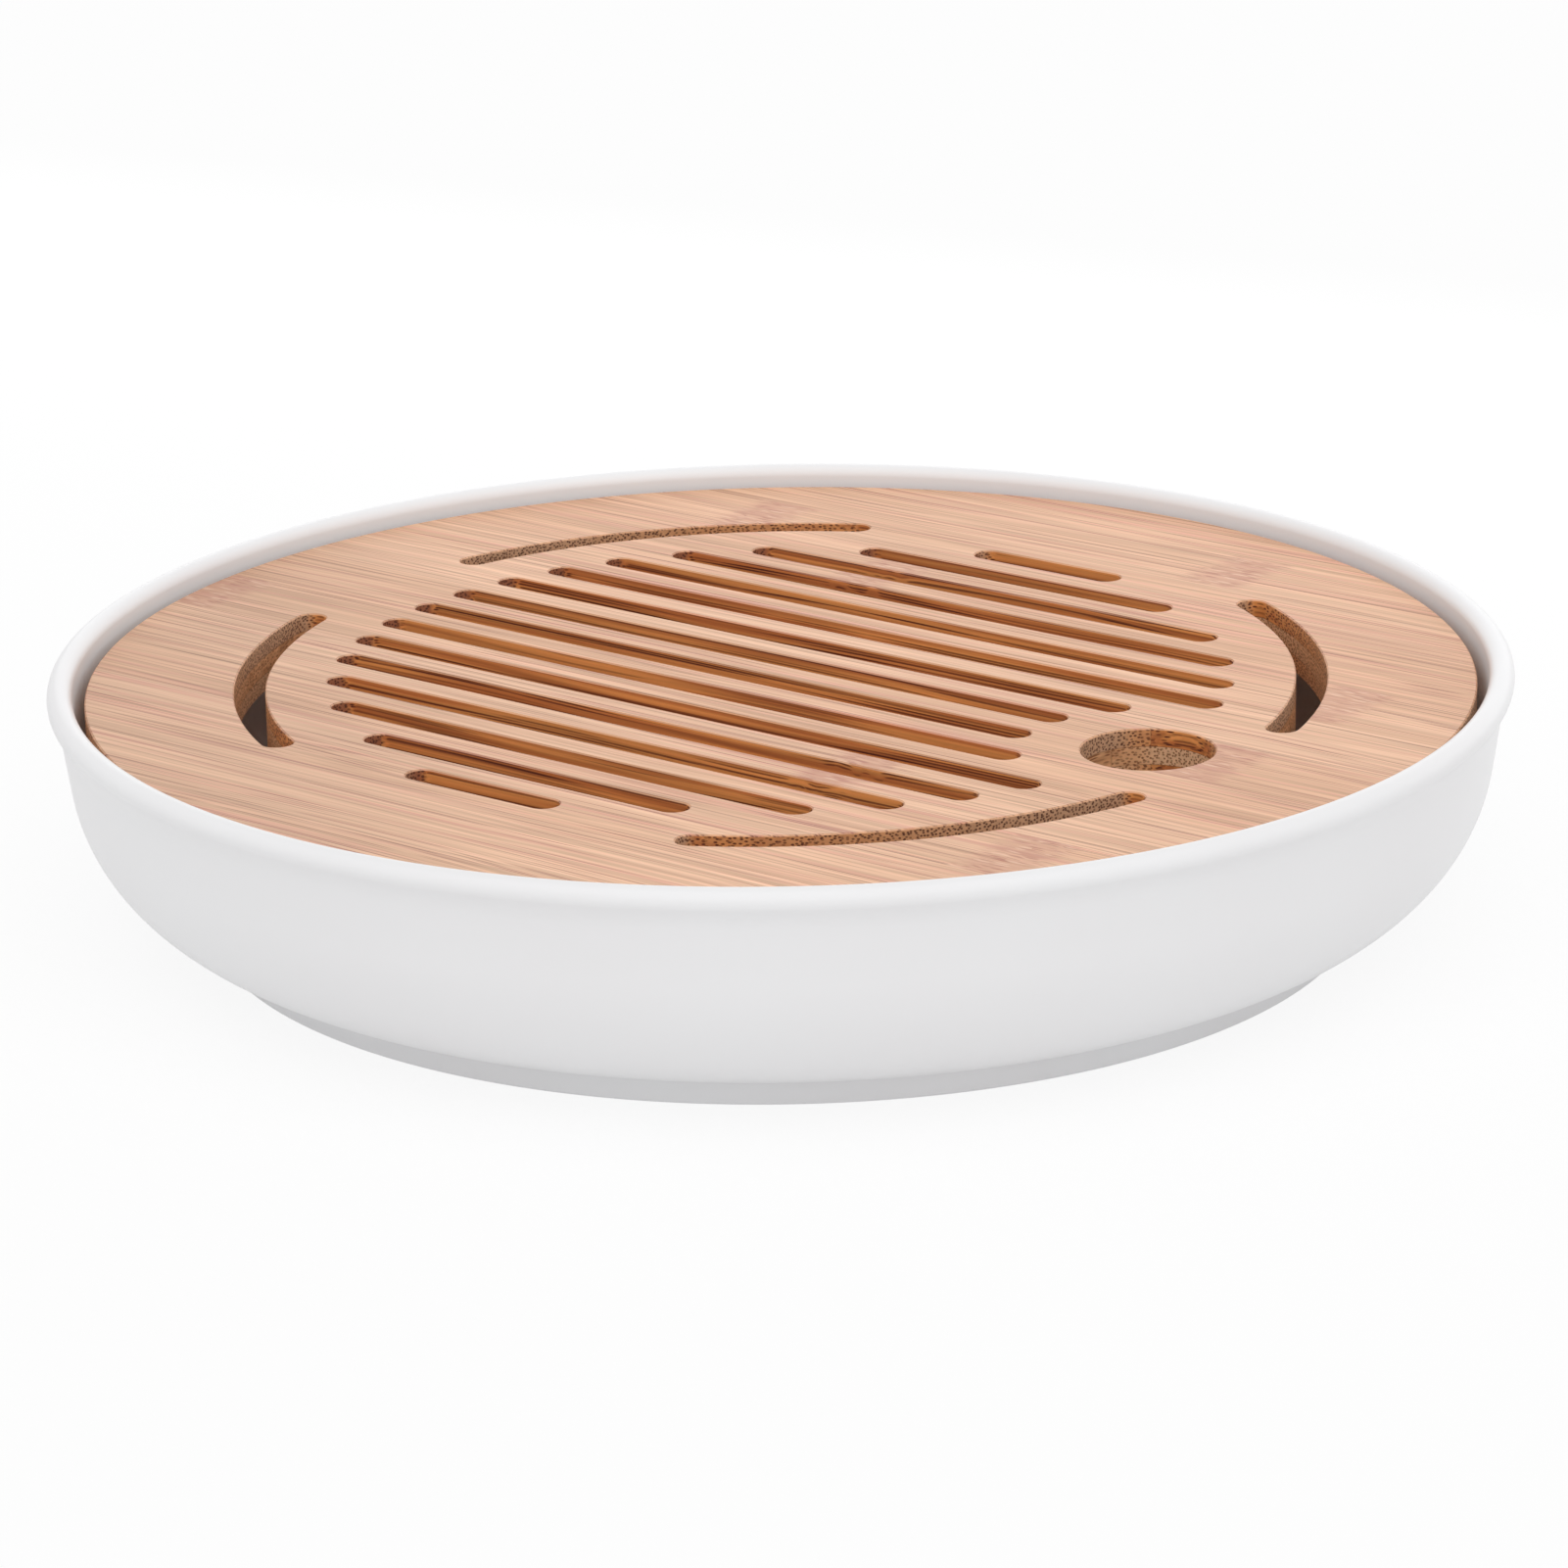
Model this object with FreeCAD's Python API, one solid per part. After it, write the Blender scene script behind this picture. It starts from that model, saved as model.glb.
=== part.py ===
"""Round gongfu tea tray: a moulded bowl that catches the water, under a slotted bamboo lid.

Millimetres. The origin is the centre of the foot ring on the table, +Z is up, and +X runs along
the drain slots towards the finger hole.
"""
import FreeCAD, Part
import math
import os

# Bowl, outside
rim_diameter = 280.0
overall_height = 50.0
lip_bead_diameter = 4.8
lip_proud = 1.4
lip_blend_radius = 8.0
wall_draft_deg = 8.1
belly_radius = 31.5
foot_ring_inset = 28.7
foot_ring_height = 5.0
foot_ring_width = 4.5
foot_draft_deg = 12.0
foot_fillet_radius = 1.6
foot_edge_radius = 0.8

# Bowl, inside
wall_thickness = 3.5
base_thickness = 3.5
ledge_width = 3.6
ledge_edge_radius = 1.2

# Lid board
lid_recess = 3.8
lid_clearance = 0.55
face_ply_thickness = 3.5
core_ply_thickness = 3.5
back_ply_thickness = 3.5
strip_width = 21.15
edge_break = 0.25

# Arc slots, set in from the lid's edge
arc_slot_width = 6.0
arc_slot_border = 28.3
arc_slot_middle_deg = 37.6
arc_slot_span_deg = 46.8

# Drain slots, inside the ring of arc slots
slot_pitch = 11.75
slot_width = 6.0
slot_to_arc_land = 11.65
shortest_slot_length = 35.0

# Finger hole, set in from the lid's edge, with a land between it and the slots
finger_hole_diameter = 25.0
finger_hole_border = 34.9
finger_hole_margin = 11.0

# How far cutters run past what they cut, and how near two places count as one
overrun = 1.0
same_place = 0.01

UP = FreeCAD.Vector(0, 0, 1)
ORIGIN = FreeCAD.Vector(0, 0, 0)


def section_point(radius, height):
    """Point of the bowl's half section, in the XZ plane."""
    return FreeCAD.Vector(radius, 0, height)


def line(start, end):
    """Straight edge between two points."""
    return Part.LineSegment(start, end).toShape()


def arc(start, through, end):
    """Circular edge through three points."""
    return Part.Arc(start, through, end).toShape()


def on_circle(centre, radius, angle_deg):
    """Point of a circle in the half section, at an angle counted from outwards to up."""
    angle = math.radians(angle_deg)
    return centre + section_point(radius * math.cos(angle), radius * math.sin(angle))


# Levels and radii that both pieces share
rim_radius = rim_diameter / 2
bead_radius = lip_bead_diameter / 2
bead_centre = section_point(rim_radius - bead_radius, overall_height - bead_radius)
draft_slope = math.tan(math.radians(wall_draft_deg))
lid_thickness = face_ply_thickness + core_ply_thickness + back_ply_thickness
lid_top = overall_height - lid_recess
ledge_height = lid_top - lid_thickness
ledge_outer_radius = rim_radius - lip_bead_diameter - draft_slope * (bead_centre.z - ledge_height)
ledge_inner_radius = ledge_outer_radius - ledge_width
lid_radius = ledge_outer_radius - lid_clearance
foot_slope = math.tan(math.radians(foot_draft_deg))
foot_ring_radius = rim_radius - foot_ring_inset
foot_top = section_point(foot_ring_radius + foot_slope * foot_ring_height, foot_ring_height)

# Layout of the lid's openings
arc_slot_radius = lid_radius - arc_slot_border - arc_slot_width / 2
slot_end_circle_radius = arc_slot_radius - arc_slot_width / 2 - slot_to_arc_land - slot_width / 2
slots_each_side = math.floor((slot_end_circle_radius + slot_width) / slot_pitch + 1 / 2)
finger_hole_radius = finger_hole_diameter / 2
finger_hole_offset = lid_radius - finger_hole_border - finger_hole_radius


def wall_directions():
    """Unit directions down the drafted wall, and from it into the bowl."""
    draft = math.radians(wall_draft_deg)
    down_wall = section_point(-math.sin(draft), -math.cos(draft))
    inwards = section_point(-math.cos(draft), math.sin(draft))
    return down_wall, inwards


def lip_blend():
    """Hollow blend between the lip bead and the wall: its start on the bead, middle, and end."""
    down_wall, inwards = wall_directions()
    start = section_point(rim_radius - lip_proud, bead_centre.z) - inwards * lip_blend_radius
    to_start = start - bead_centre
    half_b = to_start.dot(down_wall)
    reach = half_b ** 2 - to_start.dot(to_start) + (bead_radius + lip_blend_radius) ** 2
    centre = start + down_wall * (math.sqrt(reach) - half_b)
    to_bead = (bead_centre - centre).normalize()
    middle = centre + (to_bead + inwards).normalize() * lip_blend_radius
    return centre + to_bead * lip_blend_radius, middle, centre + inwards * lip_blend_radius


def belly_centre(wall_top):
    """Centre of the belly's arc, tangent to the drafted wall and ending at the foot ring's top."""
    down_wall, inwards = wall_directions()
    start = wall_top + inwards * belly_radius
    to_start = start - foot_top
    half_b = to_start.dot(down_wall)
    reach = half_b ** 2 - to_start.dot(to_start) + belly_radius ** 2
    return start - down_wall * (math.sqrt(reach) + half_b)


def bowl_section():
    """Closed half section of the bowl."""
    bead_foot, blend_middle, wall_top = lip_blend()
    centre = belly_centre(wall_top)
    inner_belly_radius = belly_radius - wall_thickness
    floor_height = centre.z - inner_belly_radius
    base_height = floor_height - base_thickness

    # outside, from the lip down to the table
    bead_inner = section_point(rim_radius - lip_bead_diameter, bead_centre.z)
    bead_top = section_point(bead_centre.x, overall_height)
    belly_top = on_circle(centre, belly_radius, -wall_draft_deg)
    foot_angle = math.degrees(math.atan2(foot_top.z - centre.z, foot_top.x - centre.x))
    belly_middle = on_circle(centre, belly_radius, (foot_angle - wall_draft_deg) / 2)
    foot_outer = section_point(foot_ring_radius, 0)
    foot_inner = section_point(foot_outer.x - foot_ring_width, 0)
    recess_corner = section_point(foot_inner.x - foot_slope * base_height, base_height)
    base_middle = section_point(0, base_height)

    # inside, from the floor up to the lip
    floor_middle = section_point(0, floor_height)
    floor_end = section_point(centre.x, floor_height)
    shoulder_angle = -math.degrees(math.acos((ledge_inner_radius - centre.x) / inner_belly_radius))
    shoulder_foot = on_circle(centre, inner_belly_radius, shoulder_angle)
    inner_middle = on_circle(centre, inner_belly_radius, (shoulder_angle - 90) / 2)
    ledge_inner = section_point(ledge_inner_radius, ledge_height)
    ledge_outer = section_point(ledge_outer_radius, ledge_height)

    edges = [
        arc(bead_inner, on_circle(bead_centre, bead_radius, 135), bead_top),
        arc(bead_top, on_circle(bead_centre, bead_radius, 0), bead_foot),
        arc(bead_foot, blend_middle, wall_top),
        line(wall_top, belly_top),
        arc(belly_top, belly_middle, foot_top),
        line(foot_top, foot_outer),
        line(foot_outer, foot_inner),
        line(foot_inner, recess_corner),
        line(recess_corner, base_middle),
        line(base_middle, floor_middle),
        line(floor_middle, floor_end),
        arc(floor_end, inner_middle, shoulder_foot),
        line(shoulder_foot, ledge_inner),
        line(ledge_inner, ledge_outer),
        line(ledge_outer, bead_inner),
    ]
    corners = {"foot_outer": foot_outer, "foot_inner": foot_inner, "ledge": ledge_inner}
    return Part.Face(Part.Wire(edges)), corners


def ring_edges(solid, corner):
    """Circular edges that a corner of the half section sweeps."""
    def swept(edge):
        ring = edge.Curve
        is_ring = isinstance(ring, Part.Circle)
        return is_ring and corner.isEqual(section_point(ring.Radius, ring.Center.z), same_place)
    return [edge for edge in solid.Edges if swept(edge)]


def make_bowl():
    """Bowl moulded in one piece, with its lid ledge and foot ring."""
    section, corners = bowl_section()
    bowl = section.revolve(ORIGIN, UP, 360)
    bowl = bowl.makeFillet(foot_fillet_radius, ring_edges(bowl, foot_top))
    feet = ring_edges(bowl, corners["foot_outer"]) + ring_edges(bowl, corners["foot_inner"])
    bowl = bowl.makeFillet(foot_edge_radius, feet)
    return bowl.makeFillet(ledge_edge_radius, ring_edges(bowl, corners["ledge"]))


def through_lid(face):
    """Cutter that pushes an outline through the whole lid."""
    face.translate(UP * (ledge_height - overrun))
    return face.extrude(UP * (lid_thickness + 2 * overrun))


def slot_cutter(offset, start_x, end_x):
    """Straight slot with round ends, between the centres of its end caps."""
    half = slot_width / 2
    low_start = FreeCAD.Vector(start_x, offset - half, 0)
    low_end = FreeCAD.Vector(end_x, offset - half, 0)
    high_end = FreeCAD.Vector(end_x, offset + half, 0)
    high_start = FreeCAD.Vector(start_x, offset + half, 0)
    edges = [
        line(low_start, low_end),
        arc(low_end, FreeCAD.Vector(end_x + half, offset, 0), high_end),
        line(high_end, high_start),
        arc(high_start, FreeCAD.Vector(start_x - half, offset, 0), low_start),
    ]
    return through_lid(Part.Face(Part.Wire(edges)))


def slot_cutters():
    """All straight slots: trimmed to a circle, and kept clear of the finger hole."""
    keep_clear = finger_hole_radius + finger_hole_margin + slot_width / 2
    shortest_half = (shortest_slot_length - slot_width) / 2
    cutters = []
    for index in range(-slots_each_side, slots_each_side):
        offset = (index + 1 / 2) * slot_pitch
        reach = math.sqrt(max(slot_end_circle_radius ** 2 - offset ** 2, 0))
        half_length = max(reach, shortest_half)
        end_x = half_length
        if abs(offset) < keep_clear:
            end_x = min(end_x, finger_hole_offset - math.sqrt(keep_clear ** 2 - offset ** 2))
        cutters.append(slot_cutter(offset, -half_length, end_x))
    return cutters


def arc_cutter(middle_deg):
    """Slot bent round the lid's centre, with round ends, about a middle direction."""
    inner = arc_slot_radius - arc_slot_width / 2
    outer = arc_slot_radius + arc_slot_width / 2
    half_span = math.radians(arc_slot_span_deg) / 2
    middle = math.radians(middle_deg)

    def at(radius, turn, past=0):
        """Point at a turn from the middle, and a length past it along the arc's tangent."""
        angle = middle + turn
        radial = FreeCAD.Vector(math.cos(angle), math.sin(angle), 0)
        tangent = FreeCAD.Vector(-math.sin(angle), math.cos(angle), 0)
        return radial * radius + tangent * past

    cap = arc_slot_width / 2
    edges = [
        arc(at(outer, -half_span), at(outer, 0), at(outer, half_span)),
        arc(at(outer, half_span), at(arc_slot_radius, half_span, cap), at(inner, half_span)),
        arc(at(inner, half_span), at(inner, 0), at(inner, -half_span)),
        arc(at(inner, -half_span), at(arc_slot_radius, -half_span, -cap), at(outer, -half_span)),
    ]
    return through_lid(Part.Face(Part.Wire(edges)))


def arc_cutters():
    """Four arc slots, mirrored about the slots' direction and across it."""
    turns = (arc_slot_middle_deg, 180 - arc_slot_middle_deg, 180 + arc_slot_middle_deg, -arc_slot_middle_deg)
    return [arc_cutter(turn) for turn in turns]


def finger_hole_cutter():
    """Round hole that a finger lifts the lid by."""
    start = FreeCAD.Vector(finger_hole_offset, 0, ledge_height - overrun)
    return Part.makeCylinder(finger_hole_radius, lid_thickness + 2 * overrun, start)


def make_lid_board():
    """Whole routed board, with every edge of its two faces broken."""
    board = Part.makeCylinder(lid_radius, lid_thickness, UP * ledge_height)
    board = board.cut(slot_cutters() + arc_cutters() + [finger_hole_cutter()])
    broken = []
    for face in board.Faces:
        if isinstance(face.Surface, Part.Plane):
            broken += face.Edges
    return board.Solids[0].makeChamfer(edge_break, broken)


def strip_slab(index, count, low, thickness, across):
    """Slab that one strip of a ply fills before the board is cut round."""
    start = (index - count / 2) * strip_width
    length = count * strip_width
    corner = FreeCAD.Vector(-length / 2, start, low)
    size_x, size_y = length, strip_width
    if across:
        corner = FreeCAD.Vector(start, -length / 2, low)
        size_x, size_y = strip_width, length
    return Part.makeBox(size_x, size_y, thickness, corner)


def make_ply(board, low, thickness, across):
    """Strips of one ply, in order along Y, or along X where the ply lies across the slots."""
    strips_beside_middle = math.ceil((lid_radius - strip_width / 2) / strip_width)
    count = 2 * strips_beside_middle + 1
    ply = board.common(Part.makeCylinder(lid_radius + overrun, thickness, UP * low))
    return [ply.common(strip_slab(index, count, low, thickness, across)) for index in range(count)]


def make_lid():
    """All strips of the lid by name, from its back ply to its face ply."""
    board = make_lid_board()
    core_low = ledge_height + back_ply_thickness
    face_low = core_low + core_ply_thickness
    plies = {
        "back_strip": make_ply(board, ledge_height, back_ply_thickness, across=False),
        "core_strip": make_ply(board, core_low, core_ply_thickness, across=True),
        "face_strip": make_ply(board, face_low, face_ply_thickness, across=False),
    }
    return {f"{name}_{k + 1:02d}": strip for name, strips in plies.items() for k, strip in enumerate(strips)}


def main():
    """Writes one file per piece."""
    os.makedirs("parts", exist_ok=True)
    pieces = {"bowl": make_bowl()}
    pieces.update(make_lid())
    for name, shape in pieces.items():
        solids = shape.Solids
        Part.makeCompound(solids).exportStep(f"parts/{name}.step")
        print(f"{name}: {len(solids)} solids, {shape.Volume / 1000:.2f} cm3, valid {shape.isValid()}")


main()
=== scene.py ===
"""Round gongfu tea tray in a plain studio: a moulded bowl that catches the water, under a slotted bamboo lid.

Sizes in the classes are millimetres in the part's own frame: the origin is the centre of the foot
ring on the table, +Z is up, and +X runs along the drain slots towards the finger hole.
"""

import logging
import math
from dataclasses import dataclass, field
from enum import Enum
from typing import NamedTuple, Union

import bmesh
import bpy
from mathutils import Matrix, Vector


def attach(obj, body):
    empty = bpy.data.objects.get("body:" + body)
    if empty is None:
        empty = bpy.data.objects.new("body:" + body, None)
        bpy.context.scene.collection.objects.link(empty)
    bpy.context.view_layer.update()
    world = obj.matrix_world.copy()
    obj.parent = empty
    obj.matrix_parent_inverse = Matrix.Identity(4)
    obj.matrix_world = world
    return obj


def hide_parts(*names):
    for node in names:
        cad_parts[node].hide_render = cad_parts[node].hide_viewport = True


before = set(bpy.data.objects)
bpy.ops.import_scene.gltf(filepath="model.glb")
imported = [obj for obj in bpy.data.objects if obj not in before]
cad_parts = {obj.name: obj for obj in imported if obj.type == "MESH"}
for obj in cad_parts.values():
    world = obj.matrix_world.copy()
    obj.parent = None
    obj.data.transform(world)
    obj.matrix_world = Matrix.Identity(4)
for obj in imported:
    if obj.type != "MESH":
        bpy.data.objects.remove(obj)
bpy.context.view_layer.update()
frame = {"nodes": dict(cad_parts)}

LOG = logging.getLogger("tea_tray")
MM = 0.001

Socket = bpy.types.NodeSocket
Colour = tuple[float, float, float, float]
Feed = Union[Socket, float, int, str, tuple]
Outline = list[Vector]
Span = tuple[float, float]

WHITE_LIGHT: Colour = (1.0, 1.0, 1.0, 1.0)
NOISE_MIDDLE = 0.5
SAME_STRIP = 0.5


def srgb(red: int, green: int, blue: int) -> Colour:
    """Turns a colour as a screen shows it into the linear colour that a shader takes.

    Args:
        red: red level, 0 to 255.
        green: green level, 0 to 255.
        blue: blue level, 0 to 255.

    Returns:
        The linear colour, with full alpha.
    """
    def linear(level: int) -> float:
        """One channel."""
        share = level / 255
        return share / 12.92 if share <= 0.04045 else ((share + 0.055) / 1.055) ** 2.4
    return linear(red), linear(green), linear(blue), 1.0


class Grain(Enum):
    """Direction that a strip's fibres run in."""

    ALONG_SLOTS = "x"
    ACROSS_SLOTS = "y"


class Ply(Enum):
    """Layer of the lid board, by the name that its strips' nodes start with."""

    FACE = "face_strip"
    CORE = "core_strip"
    BACK = "back_strip"


class Ramp(NamedTuple):
    """Smooth change of one number while another goes from low to high.

    Attributes:
        low: where the change begins.
        high: where it has ended.
        start: result at and below low.
        end: result at and above high.
    """

    low: float
    high: float
    start: float = 0.0
    end: float = 1.0


class Wiring:
    """Adds nodes to one node tree and joins their sockets."""

    def __init__(self, tree: bpy.types.NodeTree) -> None:
        """Empties the tree and keeps it.

        Args:
            tree: node tree to fill.
        """
        self.tree = tree
        tree.nodes.clear()

    def node(
        self, kind: str, feeds: dict[Union[str, int], Feed] | None = None, **settings: object,
    ) -> bpy.types.Node:
        """Adds one node.

        Args:
            kind: Blender's type name of the node.
            feeds: what each input gets, a socket to link or a value to set.
            **settings: the node's own properties.

        Returns:
            The new node.
        """
        made = self.tree.nodes.new(kind)
        for name, value in settings.items():
            setattr(made, name, value)
        for key, feed in (feeds or {}).items():
            if isinstance(feed, bpy.types.NodeSocket):
                self.tree.links.new(feed, made.inputs[key])
            else:
                made.inputs[key].default_value = feed
        return made

    def math(self, operation: str, *feeds: Feed) -> Socket:
        """Joins numbers by one operation.

        Args:
            operation: Blender's name of the operation.
            *feeds: the numbers, in order.

        Returns:
            The result's socket.
        """
        return self.node("ShaderNodeMath", dict(enumerate(feeds)), operation=operation).outputs[0]

    def ease(self, value: Feed, ramp: Ramp) -> Socket:
        """Follows a ramp.

        Args:
            value: the number that the ramp goes by.
            ramp: the ramp.

        Returns:
            The result's socket.
        """
        feeds = {0: value, 1: ramp.low, 2: ramp.high, 3: ramp.start, 4: ramp.end}
        return self.node("ShaderNodeMapRange", feeds, interpolation_type="SMOOTHSTEP").outputs[0]

    def between(self, share: Feed, start: float, end: float) -> Socket:
        """Goes straight from one number to another by a share.

        Args:
            share: 0 for the first number, 1 for the second.
            start: first number.
            end: second number.

        Returns:
            The result's socket.
        """
        return self.node("ShaderNodeMapRange", {0: share, 3: start, 4: end}).outputs[0]

    def tint(self, share: Feed, first: Feed, second: Feed) -> Socket:
        """Goes from the first colour to the second by a share.

        Args:
            share: 0 for the first colour, 1 for the second.
            first: first colour.
            second: second colour.

        Returns:
            The mixed colour's socket.
        """
        return self.node("ShaderNodeMix", {0: share, 6: first, 7: second}, data_type="RGBA").outputs[2]

    def scaled(self, vector: Feed, factor: Feed) -> Socket:
        """Multiplies a place, or a colour, by one factor.

        Args:
            vector: the place or colour.
            factor: factor for all three numbers.

        Returns:
            The result's socket.
        """
        return self.node("ShaderNodeVectorMath", {0: vector, "Scale": factor}, operation="SCALE").outputs[0]

    def point(self, x: Feed, y: Feed, z: Feed) -> Socket:
        """Joins three numbers into a place in a pattern.

        Args:
            x: first number.
            y: second number.
            z: third number.

        Returns:
            The vector's socket.
        """
        return self.node("ShaderNodeCombineXYZ", {0: x, 1: y, 2: z}).outputs[0]

    def noise(self, place: Feed, detail: float = 2.0) -> Socket:
        """Cloudy values round a half.

        Args:
            place: place in the pattern, with one cloud per unit.
            detail: finer octaves on top.

        Returns:
            The value's socket.
        """
        feeds = {"Vector": place, "Scale": 1.0, "Detail": detail, "Roughness": 0.5}
        return self.node("ShaderNodeTexNoise", feeds).outputs[0]

    def cells(self, place: Feed, dimensions: str = "3D") -> tuple[Socket, Socket]:
        """Scattered cells, about one per unit.

        Args:
            place: place in the pattern.
            dimensions: "2D" for cells that never end along the third axis, "3D" for cells that do.

        Returns:
            The distance to the cell's centre, and the cell's own random number.
        """
        feeds = {"Vector": place, "Scale": 1.0}
        cell = self.node("ShaderNodeTexVoronoi", feeds, voronoi_dimensions=dimensions, feature="F1")
        own = self.node("ShaderNodeSeparateColor", {0: cell.outputs["Color"]}).outputs[0]
        return cell.outputs["Distance"], own


def new_material(name: str) -> tuple[bpy.types.Material, Wiring]:
    """Makes a material with an empty node tree.

    Args:
        name: the material's name.

    Returns:
        The material, and the wiring of its tree.
    """
    material = bpy.data.materials.new(name)
    material.use_nodes = True
    return material, Wiring(material.node_tree)


def place_in_mm(wiring: Wiring) -> Socket:
    """Object coordinates in millimetres.

    Args:
        wiring: wiring of the material's tree.

    Returns:
        The vector's socket.
    """
    return wiring.scaled(wiring.node("ShaderNodeTexCoord").outputs["Object"], 1 / MM)


def add_to_scene(name: str, data: bpy.types.ID) -> bpy.types.Object:
    """Puts a mesh, lamp or camera into the scene.

    Args:
        name: the object's name.
        data: its mesh, lamp or camera.

    Returns:
        The object.
    """
    thing = bpy.data.objects.new(name, data)
    bpy.context.scene.collection.objects.link(thing)
    return thing


@dataclass(frozen=True)
class Melamine:
    """White moulded melamine, satin from the mould, with a faint flow in it.

    Attributes:
        white: main colour.
        cloud: colour of the flow.
        roughness: roughness of the surface.
        sheen: level of its gloss.
        flow_pitch: size of the flow's clouds.
        flow_fade: share of the flow's colour, by the cloud.
    """

    white: Colour = srgb(235, 235, 236)
    cloud: Colour = srgb(233, 232, 233)
    roughness: float = 0.3
    sheen: float = 0.15
    flow_pitch: float = 60.0
    flow_fade: Ramp = Ramp(0.2, 0.8)

    def material(self) -> bpy.types.Material:
        """Builds the finish.

        Returns:
            The material.
        """
        material, wiring = new_material("white_melamine")
        flow = wiring.noise(wiring.scaled(place_in_mm(wiring), 1 / self.flow_pitch), detail=1.0)
        surface = wiring.node("ShaderNodeBsdfPrincipled", {
            "Base Color": wiring.tint(wiring.ease(flow, self.flow_fade), self.white, self.cloud),
            "Roughness": self.roughness,
            "Specular IOR Level": self.sheen,
        })
        wiring.node("ShaderNodeOutputMaterial", {"Surface": surface.outputs[0]})
        return material


@dataclass(frozen=True)
class Knuckle:
    """Mark that a joint of the bamboo cane leaves across one strip.

    Attributes:
        strip: strip it lies on, counted from the middle one.
        along: its place along the grain.
    """

    strip: int
    along: float


@dataclass(frozen=True)
class FibrePattern:
    """Sizes and depths of the grain's marks, alike in every ply.

    A size is the pitch across the grain and the length along it. A ramp named edge goes by the
    distance from a mark's middle, and one named depth by a random number of the mark's own.

    Attributes:
        strip_shift: distance in the pattern from one strip to the next.
        bundle: size of the fibre bundles.
        fibre: size of the fine fibres.
        streak: size of the streaks of tone.
        band: size of the broad bands of tone.
        dash: size of a knuckle's dashes.
        stray: size of the fibres' slow stray from straight.
        curl: size of their curl at a knuckle.
        stray_reach: how far they stray.
        curl_reach: how far they curl.
        thread_edge: thread that a bundle draws on a face.
        thread_depth: how dark the thread is.
        thread_fade: where it fades along its length, by a cloud.
        dot_edge: dot that a bundle leaves on a cut end.
        dot_depth: how dark the dot is.
        vein_share: depth of dots and threads together.
        dash_edge: dash in a knuckle.
        dash_depth: which dashes are light.
        knuckle_edge: a knuckle's whole mark.
        cut_share: cut walls, by how flat the surface lies.
        across_share: walls across the grain, by how far they face along it.
        square_share: walls squarely across it, likewise.
        seam_glue: glue between strips, by the distance from the seam.
        ply_glue: glue between plies on cut walls, likewise.
        thread_sink: depth of a thread in the bump, by that of a fibre.
        bump_strength: strength of the bump.
        bump_depth: its depth.
    """

    strip_shift: float = 13.7
    bundle: Span = (0.6, 150.0)
    fibre: Span = (0.95, 55.0)
    streak: Span = (1.7, 120.0)
    band: Span = (8.0, 260.0)
    dash: Span = (0.9, 6.0)
    stray: Span = (18.0, 70.0)
    curl: Span = (4.0, 6.0)
    stray_reach: float = 1.6
    curl_reach: float = 1.6
    thread_edge: Ramp = Ramp(0.16, 0.36, 1.0, 0.0)
    thread_depth: Ramp = Ramp(0.1, 0.8, 0.2, 1.0)
    thread_fade: Ramp = Ramp(0.3, 0.6, 0.3, 1.0)
    dot_edge: Ramp = Ramp(0.24, 0.42, 1.0, 0.0)
    dot_depth: Ramp = Ramp(0.0, 0.6, 0.6, 1.0)
    vein_share: float = 0.5
    dash_edge: Ramp = Ramp(0.2, 0.45, 1.0, 0.0)
    dash_depth: Ramp = Ramp(0.45, 0.55)
    knuckle_edge: Ramp = Ramp(3.15, 9.0, 1.0, 0.0)
    cut_share: Ramp = Ramp(0.45, 0.85, 1.0, 0.0)
    across_share: Ramp = Ramp(0.35, 0.8)
    square_share: Ramp = Ramp(0.7, 0.95)
    seam_glue: Ramp = Ramp(0.0, 0.12, 0.3, 0.0)
    ply_glue: Ramp = Ramp(0.0, 0.12, 0.55, 0.0)
    thread_sink: float = 0.8
    bump_strength: float = 0.18
    bump_depth: float = 0.25


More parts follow.
